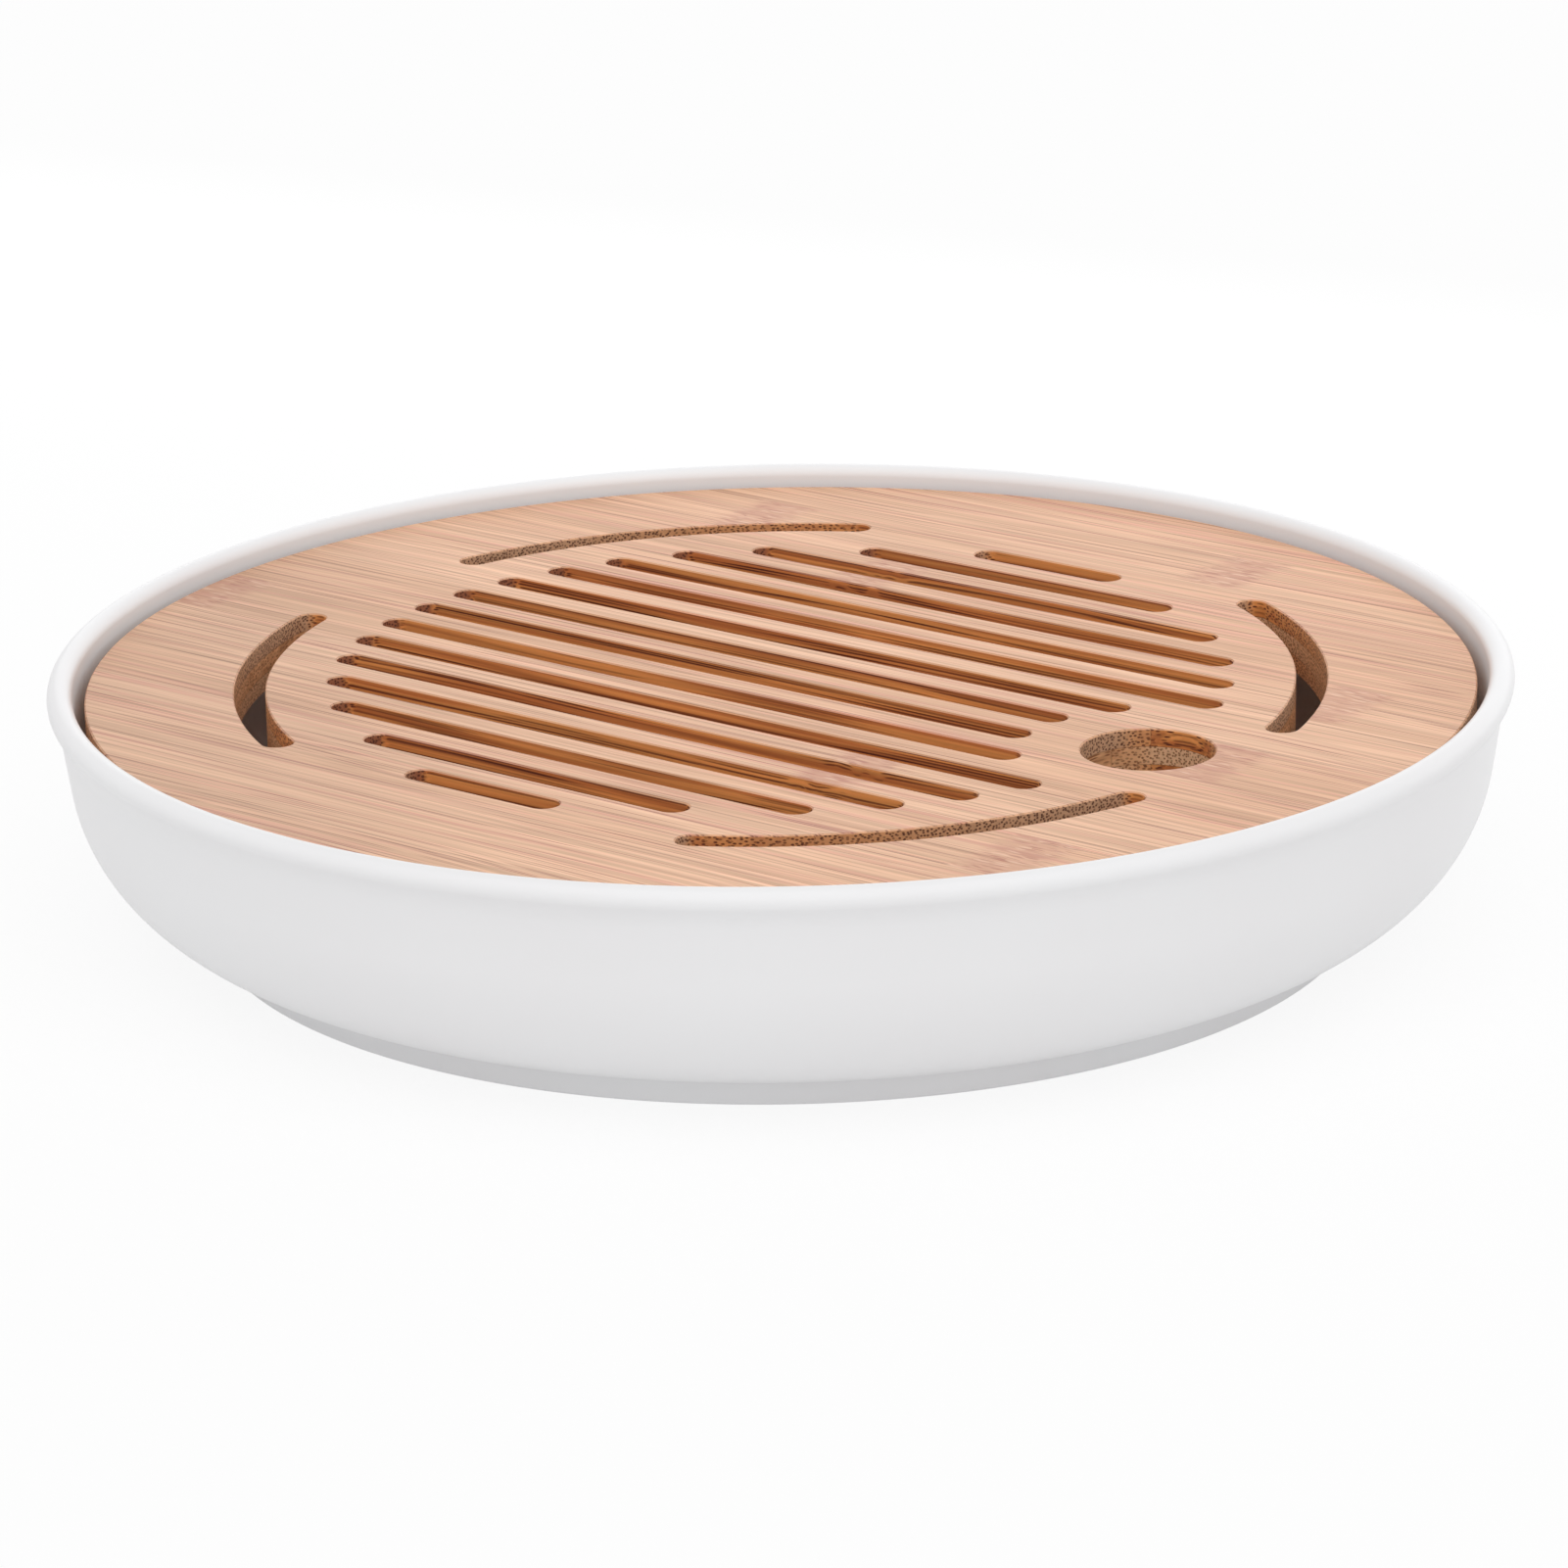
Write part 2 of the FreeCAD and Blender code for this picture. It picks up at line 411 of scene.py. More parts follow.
@dataclass(frozen=True)
class Bamboo:
    """Pressed bamboo strips of one ply.

    Fibre bundles run along the grain, and show as dots where they are cut across.

    Attributes:
        name: the material's name.
        grain: direction of the fibres.
        strip_width: width of one strip.
        low: level of the ply's lower face.
        high: level of its upper face.
        seed: offset that sets the ply's pattern apart.
        knuckles: marks of the cane's joints.
        pale: lightest tone of the sanded faces.
        honey: yellower tone of some strips and bands.
        rosy: redder tone of the streaks.
        line: tone of the threads.
        bruise: tone of the knuckles.
        dash: tone of their light dashes.
        dash_dark: tone of their dark dashes.
        wall: tone of walls cut along the grain.
        wall_brown: darker tone of their streaks.
        wall_line: tone of their threads.
        end: tone of walls cut across the grain.
        end_bare: tone of those cut squarely across.
        end_dot: tone of their dots.
        painted_end_shade: painted shade, a darker and redder tone on the ends of the drain slots.
        glue: tone of the glue lines.
        own_share: how much of the tone is a strip's own.
        tone_shift: what is taken off the bands' tone.
        tone_fade: share of the honey tone.
        rosy_fade: share of the rosy tone, by streak.
        line_fade: depth of the threads, by streak.
        bruise_fade: depth of a knuckle's tone, by streak.
        dash_share: depth of its dashes.
        brown_fade: share of the brown tone on walls, by streak.
        dot_share: depth of the dots.
        face_fibre: factor and offset that fibres shade the faces by.
        wall_fibre: the same on walls cut along the grain.
        end_fibre: the same on walls cut across it.
        painted_corner_shade: painted shade that darkens the face towards one corner of the board, aslant over
            the grain, standing in for light falling off across it.
        sanded_rim: share of the face's tone on the board's edge, by the distance from its middle.
        painted_end_shade_depth: depth of that painted shade on the slot ends, by the same distance.
        off_hole: where the painted shade on the slot ends begins, by the distance from the finger hole's
            middle.
        hole_offset: place of the finger hole's middle.
        roughness: roughness of the faces.
        cut_rough: what a cut wall adds to it.
        fibre_rough: what a fibre adds to it.
        sheen: level of the gloss.
        marks: sizes and depths of the grain's marks.
    """

    name: str
    grain: Grain
    strip_width: float
    low: float
    high: float
    seed: float
    knuckles: tuple[Knuckle, ...] = ()
    pale: Colour = srgb(216, 172, 139)
    honey: Colour = srgb(208, 162, 128)
    rosy: Colour = srgb(209, 150, 126)
    line: Colour = srgb(132, 66, 48)
    bruise: Colour = srgb(194, 138, 113)
    dash: Colour = srgb(230, 192, 163)
    dash_dark: Colour = srgb(168, 100, 80)
    wall: Colour = srgb(230, 152, 84)
    wall_brown: Colour = srgb(194, 114, 60)
    wall_line: Colour = srgb(88, 36, 16)
    end: Colour = srgb(214, 156, 108)
    end_bare: Colour = srgb(204, 161, 127)
    end_dot: Colour = srgb(80, 42, 28)
    # painted shade: darker, redder tone for the ends of the drain slots
    painted_end_shade: Colour = srgb(150, 84, 54)
    glue: Colour = srgb(112, 70, 40)
    own_share: float = 0.5
    tone_shift: float = 0.25
    tone_fade: Ramp = Ramp(0.25, 0.75)
    rosy_fade: Ramp = Ramp(0.5, 0.72, 0.0, 0.8)
    line_fade: Ramp = Ramp(0.3, 0.65, 0.55, 0.8)
    bruise_fade: Ramp = Ramp(0.3, 0.7, 0.35, 0.8)
    dash_share: float = 0.6
    brown_fade: Ramp = Ramp(0.4, 0.62)
    dot_share: float = 0.9
    face_fibre: Span = (-1.0, 1.57)
    wall_fibre: Span = (-1.0, 1.5)
    end_fibre: Span = (0.5, 0.75)
    painted_corner_shade: Ramp = Ramp(-150.0, -60.0, 0.86, 1.0)
    sanded_rim: Ramp = Ramp(120.0, 126.0, 0.0, 0.75)
    painted_end_shade_depth: Ramp = Ramp(88.0, 92.0, 0.85, 0.0)
    off_hole: Ramp = Ramp(14.5, 17.5)
    hole_offset: float = 85.6
    roughness: float = 0.4
    cut_rough: float = 0.12
    fibre_rough: float = 0.2
    sheen: float = 0.4
    marks: FibrePattern = FibrePattern()

    def material(self) -> bpy.types.Material:
        """Builds the finish.

        Returns:
            The material.
        """
        material, wiring = new_material(self.name)
        x, y, z = wiring.node("ShaderNodeSeparateXYZ", {0: place_in_mm(wiring)}).outputs
        along, across = (x, y) if self.grain is Grain.ALONG_SLOTS else (y, x)
        strip = wiring.math("ROUND", wiring.math("DIVIDE", across, self.strip_width))
        knuckle = self.knuckle_share(wiring, along, strip)
        rise = wiring.math("MULTIPLY_ADD", strip, self.marks.strip_shift, wiring.math("ADD", z, self.seed))
        patterns = self.patterns(wiring, along, self.wander(wiring, along, across, rise, knuckle))
        own = {"W": wiring.math("ADD", strip, self.seed)}
        patterns["own"] = wiring.node("ShaderNodeTexWhiteNoise", own, noise_dimensions="1D").outputs["Value"]
        # painted shade: share of the darker, redder tone on the slot ends
        patterns["burn"] = self.painted_end_shade_share(wiring, x, y)

        normal = wiring.node("ShaderNodeNewGeometry").outputs["Normal"]
        facing = wiring.node("ShaderNodeSeparateXYZ", {0: normal}).outputs
        lengthwise = wiring.math("ABSOLUTE", facing[0 if self.grain is Grain.ALONG_SLOTS else 1])
        cut = wiring.ease(wiring.math("ABSOLUTE", facing[2]), self.marks.cut_share)
        across_cut = wiring.ease(lengthwise, self.marks.across_share)
        square_cut = wiring.ease(lengthwise, self.marks.square_share)

        face = self.face_colour(wiring, patterns, knuckle)
        # painted shade: the face darkens towards one corner of the board, standing in for light that falls off
        # across it
        face = wiring.scaled(face, wiring.ease(wiring.math("ADD", along, across), self.painted_corner_shade))
        wall = self.wall_colour(wiring, patterns, across_cut, square_cut)
        sanded = wiring.ease(self.away(wiring, x, y), self.sanded_rim)
        sanded = wiring.math("MULTIPLY", sanded, wiring.math("SUBTRACT", 1.0, across_cut))
        colour = wiring.tint(cut, face, wiring.tint(sanded, wall, face))
        colour = wiring.tint(self.glue_share(wiring, across, strip, z, cut), colour, self.glue)

        sunk = wiring.math("MULTIPLY", patterns["thread"], self.marks.thread_sink)
        bump = wiring.node("ShaderNodeBump", {
            "Height": wiring.math("SUBTRACT", patterns["fibre"], sunk),
            "Strength": self.marks.bump_strength,
            "Distance": self.marks.bump_depth * MM,
        })
        rough = wiring.math("MULTIPLY_ADD", cut, self.cut_rough, self.roughness)
        surface = wiring.node("ShaderNodeBsdfPrincipled", {
            "Base Color": colour,
            "Roughness": wiring.math("MULTIPLY_ADD", patterns["fibre"], self.fibre_rough, rough),
            "Normal": bump.outputs[0],
            "Specular IOR Level": self.sheen,
        })
        wiring.node("ShaderNodeOutputMaterial", {"Surface": surface.outputs[0]})
        return material

    def knuckle_share(self, wiring: Wiring, along: Socket, strip: Socket) -> Feed:
        """How much of a knuckle's mark there is at a place.

        Args:
            wiring: wiring of the material's tree.
            along: place along the grain.
            strip: number of the strip.

        Returns:
            The share's socket, or 0 where the ply has no knuckles.
        """
        total: Feed = 0.0
        for knuckle in self.knuckles:
            gap = wiring.math("ABSOLUTE", wiring.math("SUBTRACT", along, knuckle.along))
            on_strip = wiring.math("COMPARE", strip, knuckle.strip, SAME_STRIP)
            total = wiring.math("MULTIPLY_ADD", wiring.ease(gap, self.marks.knuckle_edge), on_strip, total)
        return total

    def wander(
        self, wiring: Wiring, along: Socket, across: Socket, rise: Socket, knuckle: Feed,
    ) -> tuple[Socket, Socket]:
        """Lets the fibres stray a little from straight, and more at the knuckles.

        Args:
            wiring: wiring of the material's tree.
            along: place along the grain.
            across: place across the strips.
            rise: place through the ply.
            knuckle: share of a knuckle's mark.

        Returns:
            The places across and through that the pattern is read at.
        """
        def sway(size: Span, detail: float) -> Socket:
            """Cloudy values round 0.

            Args:
                size: pitch across the grain and length along it.
                detail: finer octaves on top.

            Returns:
                The value's socket.
            """
            pitch, length = size
            place = wiring.point(
                wiring.math("DIVIDE", along, length),
                wiring.math("DIVIDE", across, pitch),
                wiring.math("DIVIDE", rise, pitch),
            )
            return wiring.math("SUBTRACT", wiring.noise(place, detail), NOISE_MIDDLE)

        stray = wiring.math("MULTIPLY", sway(self.marks.stray, 0.0), self.marks.stray_reach)
        reach = wiring.math("MULTIPLY", knuckle, self.marks.curl_reach)
        moved = wiring.math("ADD", stray, wiring.math("MULTIPLY", sway(self.marks.curl, 1.0), reach))
        return wiring.math("ADD", across, moved), wiring.math("ADD", rise, moved)

    def patterns(self, wiring: Wiring, along: Socket, wandered: tuple[Socket, Socket]) -> dict[str, Socket]:
        """Patterns that the grain's tones are mixed by.

        Args:
            wiring: wiring of the material's tree.
            along: place along the grain.
            wandered: the places across and through that the patterns are read at.

        Returns:
            The sockets of the patterns' values by name, and dashes, the place in the pattern of a
            knuckle's dashes.
        """
        marks = self.marks
        side, rise = wandered

        def grained(size: Span) -> Socket:
            """Place in a pattern drawn out along the grain.

            Args:
                size: pitch across the grain and length along it.

            Returns:
                The vector's socket.
            """
            pitch, length = size
            return wiring.point(
                wiring.math("DIVIDE", side, pitch),
                wiring.math("DIVIDE", rise, pitch),
                wiring.math("DIVIDE", along, length),
            )

        gap, darkness = wiring.cells(grained(marks.bundle), "2D")
        fade = wiring.ease(wiring.noise(grained(marks.bundle), detail=1.0), marks.thread_fade)
        thread = wiring.math("MULTIPLY", wiring.ease(gap, marks.thread_edge), fade)
        thread = wiring.math("MULTIPLY", thread, wiring.ease(darkness, marks.thread_depth))
        dot = wiring.math("MULTIPLY", wiring.ease(gap, marks.dot_edge), wiring.ease(darkness, marks.dot_depth))
        return {
            "thread": thread,
            "dot": dot,
            "vein": wiring.math("MULTIPLY", wiring.math("ADD", dot, thread), marks.vein_share),
            "fibre": wiring.noise(grained(marks.fibre)),
            "streak": wiring.noise(grained(marks.streak)),
            "band": wiring.noise(grained(marks.band), detail=1.0),
            "dashes": grained(marks.dash),
        }

    def face_colour(self, wiring: Wiring, patterns: dict[str, Socket], knuckle: Feed) -> Socket:
        """Colour of a strip's sanded faces.

        Args:
            wiring: wiring of the material's tree.
            patterns: the grain's patterns by name.
            knuckle: share of a knuckle's mark.

        Returns:
            The colour's socket.
        """
        streak = patterns["streak"]
        tone = wiring.math("SUBTRACT", patterns["band"], self.tone_shift)
        tone = wiring.math("MULTIPLY_ADD", patterns["own"], self.own_share, tone)
        colour = wiring.tint(wiring.ease(tone, self.tone_fade), self.pale, self.honey)
        colour = wiring.tint(wiring.ease(streak, self.rosy_fade), colour, self.rosy)
        lines = wiring.math("MULTIPLY", patterns["thread"], wiring.ease(streak, self.line_fade))
        colour = wiring.tint(lines, colour, self.line)
        colour = wiring.scaled(colour, wiring.math("MULTIPLY_ADD", patterns["fibre"], *self.face_fibre))
        bruised = wiring.math("MULTIPLY", knuckle, wiring.ease(streak, self.bruise_fade))
        colour = wiring.tint(bruised, colour, self.bruise)
        gap, pick = wiring.cells(patterns["dashes"])
        mark = wiring.tint(wiring.ease(pick, self.marks.dash_depth), self.dash_dark, self.dash)
        dashed = wiring.math("MULTIPLY", knuckle, self.dash_share)
        dashed = wiring.math("MULTIPLY", wiring.ease(gap, self.marks.dash_edge), dashed)
        return wiring.tint(dashed, colour, mark)

    def wall_colour(
        self, wiring: Wiring, patterns: dict[str, Socket], across_cut: Socket, square_cut: Socket,
    ) -> Socket:
        """Colour of the walls that the router leaves, browner than the sanded faces.

        Args:
            wiring: wiring of the material's tree.
            patterns: the grain's patterns by name.
            across_cut: 1 where the wall cuts across the fibres, 0 where it runs along them.
            square_cut: 1 where it cuts squarely across them.

        Returns:
            The colour's socket.
        """
        fibre = patterns["fibre"]
        along_grain = wiring.tint(wiring.ease(patterns["streak"], self.brown_fade), self.wall, self.wall_brown)
        along_grain = wiring.scaled(along_grain, wiring.math("MULTIPLY_ADD", fibre, *self.wall_fibre))
        along_grain = wiring.tint(patterns["vein"], along_grain, self.wall_line)
        end_grain = wiring.tint(square_cut, self.end, self.end_bare)
        # painted shade: the slot ends take a darker, redder tone
        end_grain = wiring.tint(patterns["burn"], end_grain, self.painted_end_shade)
        end_grain = wiring.scaled(end_grain, wiring.math("MULTIPLY_ADD", fibre, *self.end_fibre))
        dots = wiring.math("MULTIPLY", patterns["dot"], self.dot_share)
        end_grain = wiring.tint(dots, end_grain, self.end_dot)
        return wiring.tint(across_cut, along_grain, end_grain)

    @staticmethod
    def away(wiring: Wiring, x: Socket, y: Socket, from_x: float = 0.0) -> Socket:
        """Distance from a point on the lid's middle line.

        Args:
            wiring: wiring of the material's tree.
            x: place along the slots.
            y: place across them.
            from_x: the point's place.

        Returns:
            The distance's socket.
        """
        flat = wiring.point(wiring.math("SUBTRACT", x, from_x), y, 0.0)
        return wiring.node("ShaderNodeVectorMath", {0: flat}, operation="LENGTH").outputs["Value"]

    def painted_end_shade_share(self, wiring: Wiring, x: Socket, y: Socket) -> Socket:
        """How much painted shade darkens a cut.

        It falls where a slot ends, and not in the arcs or the finger hole.

        Args:
            wiring: wiring of the material's tree.
            x: place along the slots.
            y: place across them.

        Returns:
            The share's socket.
        """
        inside = wiring.ease(self.away(wiring, x, y), self.painted_end_shade_depth)
        off_hole = wiring.ease(self.away(wiring, x, y, self.hole_offset), self.off_hole)
        return wiring.math("MULTIPLY", inside, off_hole)

    def glue_share(self, wiring: Wiring, across: Socket, strip: Socket, z: Socket, cut: Socket) -> Socket:
        """Thin dark lines where strips and plies are glued.

        Args:
            wiring: wiring of the material's tree.
            across: place across the strips.
            strip: number of the strip.
            z: level.
            cut: share of a cut wall.

        Returns:
            The share's socket.
        """
        middle = wiring.math("MULTIPLY", strip, self.strip_width)
        from_middle = wiring.math("ABSOLUTE", wiring.math("SUBTRACT", across, middle))
        to_seam = wiring.math("SUBTRACT", self.strip_width / 2, from_middle)
        from_half = wiring.math("ABSOLUTE", wiring.math("SUBTRACT", z, (self.low + self.high) / 2))
        to_ply = wiring.math("SUBTRACT", (self.high - self.low) / 2, from_half)
        joint = wiring.math("MULTIPLY", wiring.ease(to_ply, self.marks.ply_glue), cut)
        return wiring.math("MAXIMUM", wiring.ease(to_seam, self.marks.seam_glue), joint)


@dataclass(frozen=True)
class PaleFloor:
    """Matt white floor, lit a little from below like a light table, that keeps the tray's shadow.

    Attributes:
        white: colour of the floor.
        cloud: colour of its faint clouds.
        glow: share of light from below that falls on the tray.
        seen_glow: share of it that the camera sees.
    """

    white: Colour = srgb(243, 243, 243)
    cloud: Colour = srgb(242, 242, 242)
    glow: float = 0.25
    seen_glow: float = 0.86

    def material(self) -> bpy.types.Material:
        """Builds the finish.

        Returns:
            The material.
        """
        material, wiring = new_material("pale_floor")
        cloud = wiring.noise(wiring.node("ShaderNodeTexCoord").outputs["Object"], detail=1.0)
        colour = wiring.tint(cloud, self.white, self.cloud)
        matt = wiring.node("ShaderNodeBsdfDiffuse", {"Color": colour}).outputs[0]
        table = wiring.node("ShaderNodeEmission", {"Color": WHITE_LIGHT, "Strength": 1.0}).outputs[0]
        seen = wiring.node("ShaderNodeLightPath").outputs["Is Camera Ray"]
        share = wiring.between(seen, self.glow, self.seen_glow)
        surface = wiring.node("ShaderNodeMixShader", {0: share, 1: matt, 2: table}).outputs[0]
        wiring.node("ShaderNodeOutputMaterial", {"Surface": surface})
        return material


def on_circle(centre: Vector, radius: float, angle: float) -> Vector:
    """Point of a circle in the half section.

    Args:
        centre: the circle's centre, as radius and height.
        radius: the circle's radius.
        angle: angle in degrees, from outwards to up.

    Returns:
        The point.
    """
    turn = math.radians(angle)
    return centre + Vector((radius * math.cos(turn), radius * math.sin(turn)))


def arc(centre: Vector, radius: float, start: float, end: float, chords: int) -> Outline:
    """Points along a circular arc of the half section.

    Args:
        centre: the arc's centre.
        radius: its radius.
        start: start angle in degrees.
        end: end angle in degrees.
        chords: number of chords.

    Returns:
        The points, with both ends.
    """
    return [on_circle(centre, radius, start + (end - start) * step / chords) for step in range(chords + 1)]


def rounded(before: Vector, corner: Vector, after: Vector, radius: float, chords: int = 6) -> Outline:
    """Rounds a corner between two straight sides.

    Args:
        before: a point on the side that comes in.
        corner: the sharp corner.
        after: a point on the side that goes out.
        radius: radius of the round.
        chords: number of chords.

    Returns:
        The points of the round, in order.
    """
    back, on = (before - corner).normalized(), (after - corner).normalized()
    half = back.angle(on) / 2
    centre = corner + (back + on).normalized() * (radius / math.sin(half))
    reach = radius / math.tan(half)
    first, last = corner + back * reach - centre, corner + on * reach - centre
    sweep = first.angle_signed(last)
    points = []
    for step in range(chords + 1):
        turn = -sweep * step / chords
        points.append(centre + Matrix.Rotation(turn, 2) @ first)
    return points


@dataclass
class Bowl:
    """White bowl moulded in one piece, turned from its half section.

    Attributes:
        rim_radius: outer radius of the lip.
        height: height over all.
        bead_radius: radius of the lip's bead.
        lip_proud: how far the bead stands out from the wall.
        lip_blend: radius of the hollow under the bead.
        draft: degrees that the wall leans.
        belly_radius: outer radius of the belly's round.
        belly_centre: centre of that round.
        belly_stop: degrees before the foot where the round gives way to the fillet.
        foot_radius: radius of the foot ring on the table.
        foot_height: its height.
        foot_width: its width.
        foot_draft: degrees that its sides lean.
        foot_fillet: radius between belly and foot.
        foot_edge: radius of the foot's lower edges.
        wall: thickness of the belly.
        base: thickness of the floor.
        ledge_level: level of the ledge that carries the lid.
        ledge_inner: inner radius of the ledge.
        ledge_outer: outer radius of the ledge.
        ledge_edge: radius of its inner edge.
        floor_rings: rings on the flat floor, as shares of its radius.
        underside_rings: rings on the underside, as shares of the recess.
        segments: chords round the axis.
        floor_chords: chords of the round inside.
        bead_chords: chords of the bead.
        blend_chords: chords of the hollow under it.
        belly_chords: chords of the belly.
        weld: distance below which points are merged.
        crease: degrees past which an edge is sharp.
        finish: the bowl's finish.
    """

    rim_radius: float = 140.0
    height: float = 50.0
    bead_radius: float = 2.4
    lip_proud: float = 1.4
    lip_blend: float = 8.0
    draft: float = 8.1
    belly_radius: float = 31.5
    belly_centre: Vector = field(default_factory=lambda: Vector((105.0814, 35.6469)))
    belly_stop: float = 1.0
    foot_radius: float = 111.3
    foot_height: float = 5.0
    foot_width: float = 4.5
    foot_draft: float = 12.0
    foot_fillet: float = 1.6
    foot_edge: float = 0.8
    wall: float = 3.5
    base: float = 3.5
    ledge_level: float = 35.7
    ledge_inner: float = 129.9064
    ledge_outer: float = 133.5064
    ledge_edge: float = 1.2
    floor_rings: tuple[float, ...] = (0.0, 0.35, 0.7)
    underside_rings: tuple[float, ...] = (1.0, 0.6, 0.25, 0.0)
    segments: int = 288
    floor_chords: int = 40
    bead_chords: int = 36
    blend_chords: int = 10
    belly_chords: int = 48
    weld: float = 0.001
    crease: float = 32.0
    finish: Melamine = Melamine()

    def section(self) -> Outline:
        """Half section, from the middle of the floor up over the lip and down to the middle of the underside.

        Returns:
            The points, as radius and height.
        """
        centre = self.belly_centre
        inner = self.belly_radius - self.wall
        floor = centre.y - inner
        underside = floor - self.base
        shoulder = -math.degrees(math.acos((self.ledge_inner - centre.x) / inner))
        bead = Vector((self.rim_radius - self.bead_radius, self.height - self.bead_radius))
        slope = math.tan(math.radians(self.foot_draft))
        foot_top = Vector((self.foot_radius + slope * self.foot_height, self.foot_height))
        foot_outer = Vector((self.foot_radius, 0.0))
        foot_inner = Vector((self.foot_radius - self.foot_width, 0.0))
        recess = Vector((foot_inner.x - slope * underside, underside))
        foot_angle = math.degrees(math.atan2(foot_top.y - centre.y, foot_top.x - centre.x))
        shoulder_foot = on_circle(centre, inner, shoulder)
        ledge_in = Vector((self.ledge_inner, self.ledge_level))
        ledge_out = Vector((self.ledge_outer, self.ledge_level))
        belly = arc(centre, self.belly_radius, -self.draft, foot_angle + self.belly_stop, self.belly_chords)

        points = [Vector((share * centre.x, floor)) for share in self.floor_rings]
        points += arc(centre, inner, -90.0, shoulder, self.floor_chords)
        points += rounded(shoulder_foot, ledge_in, ledge_out, self.ledge_edge)
        points += [ledge_out]
        points += self.lip(bead)
        points += belly[:-1]
        points += rounded(belly[-1], foot_top, foot_outer, self.foot_fillet)
        points += rounded(foot_top, foot_outer, foot_inner, self.foot_edge)
        points += rounded(foot_outer, foot_inner, recess, self.foot_edge)
        points += [Vector((share * recess.x, underside)) for share in self.underside_rings]
        return points

    def lip(self, bead: Vector) -> Outline:
        """Bead of the lip, from inside over the top, and the hollow blend from it into the wall.

        Args:
            bead: the bead's centre.

        Returns:
            The points, as radius and height.
        """
        draft = math.radians(self.draft)
        down = Vector((-math.sin(draft), -math.cos(draft)))
        outwards = Vector((math.cos(draft), -math.sin(draft)))
        start = Vector((self.rim_radius - self.lip_proud, bead.y)) + outwards * self.lip_blend
        to_start = start - bead
        along = to_start.dot(down)
        reach = along ** 2 - to_start.length_squared + (self.bead_radius + self.lip_blend) ** 2
        blend = start + down * (math.sqrt(reach) - along)
        leave = math.degrees(math.atan2(blend.y - bead.y, blend.x - bead.x))
        hollow = arc(blend, self.lip_blend, 180.0 + leave, 180.0 - self.draft, self.blend_chords)
        return arc(bead, self.bead_radius, 180.0, leave, self.bead_chords) + hollow[1:]

    def lathe(self) -> bpy.types.NodeTree:
        """Geometry nodes that turn a half section round the Z axis.

        Returns:
            The node tree, with the sockets Section, Segments, Sweep Radius and Finish.
        """
        tree = bpy.data.node_groups.new("bowl_lathe", "GeometryNodeTree")
        inputs = {
            "Section": "NodeSocketGeometry",
            "Segments": "NodeSocketInt",
            "Sweep Radius": "NodeSocketFloat",
            "Finish": "NodeSocketMaterial",
        }
        for name, kind in inputs.items():
            tree.interface.new_socket(name, in_out="INPUT", socket_type=kind)
        tree.interface.new_socket("Shell", in_out="OUTPUT", socket_type="NodeSocketGeometry")
        wiring = Wiring(tree)
        given = wiring.node("NodeGroupInput").outputs
        profile = wiring.node("GeometryNodeMeshToCurve", {"Mesh": given["Section"]}).outputs[0]
        ring = wiring.node("GeometryNodeCurvePrimitiveCircle", {
            "Resolution": given["Segments"], "Radius": given["Sweep Radius"],
        }, mode="RADIUS").outputs["Curve"]
        swept = wiring.node("GeometryNodeCurveToMesh", {"Curve": ring, "Profile Curve": profile}).outputs[0]
        closed = wiring.node("GeometryNodeMergeByDistance", {
            "Geometry": swept, "Distance": self.weld * MM,
        }).outputs[0]
        smooth = wiring.node("GeometryNodeSetShadeSmooth", {"Geometry": closed}).outputs[0]
        plain = wiring.node("GeometryNodeRealizeInstances", {"Geometry": smooth}).outputs[0]
        dressed = wiring.node("GeometryNodeSetMaterial", {
            "Geometry": plain, "Material": given["Finish"],
        }).outputs[0]
        wiring.node("NodeGroupOutput", {"Shell": dressed})
        return tree

    def build(self) -> bpy.types.Object:
        """Turns the bowl, and puts it in the place of its CAD node.

        Returns:
            The bowl's object.
        """
        sweep = self.rim_radius
        mesh = bpy.data.meshes.new("bowl_section")
        points = [((point.x - sweep) * MM, -point.y * MM, 0.0) for point in self.section()]
        mesh.from_pydata(points, [(k, k + 1) for k in range(len(points) - 1)], [])
        holder = add_to_scene("bowl_section", mesh)
        tree = self.lathe()
        modifier = holder.modifiers.new("lathe", "NODES")
        modifier.node_group = tree
        values = {"Segments": self.segments, "Sweep Radius": sweep * MM, "Finish": self.finish.material()}
        for item in tree.interface.items_tree:
            if item.in_out == "INPUT" and item.name in values:
                modifier[item.identifier] = values[item.name]
        evaluated = holder.evaluated_get(bpy.context.evaluated_depsgraph_get())
        shell = bpy.data.meshes.new_from_object(evaluated)
        holder.modifiers.remove(modifier)
        bpy.data.objects.remove(holder)
        turned_out = bmesh.new()
        turned_out.from_mesh(shell)
        bmesh.ops.recalc_face_normals(turned_out, faces=turned_out.faces)
        turned_out.to_mesh(shell)
        turned_out.free()
        shell.set_sharp_from_angle(angle=math.radians(self.crease))
        bowl = add_to_scene("bowl_shell", shell)
        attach(bowl, "bowl")
        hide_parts("bowl")
        return bowl


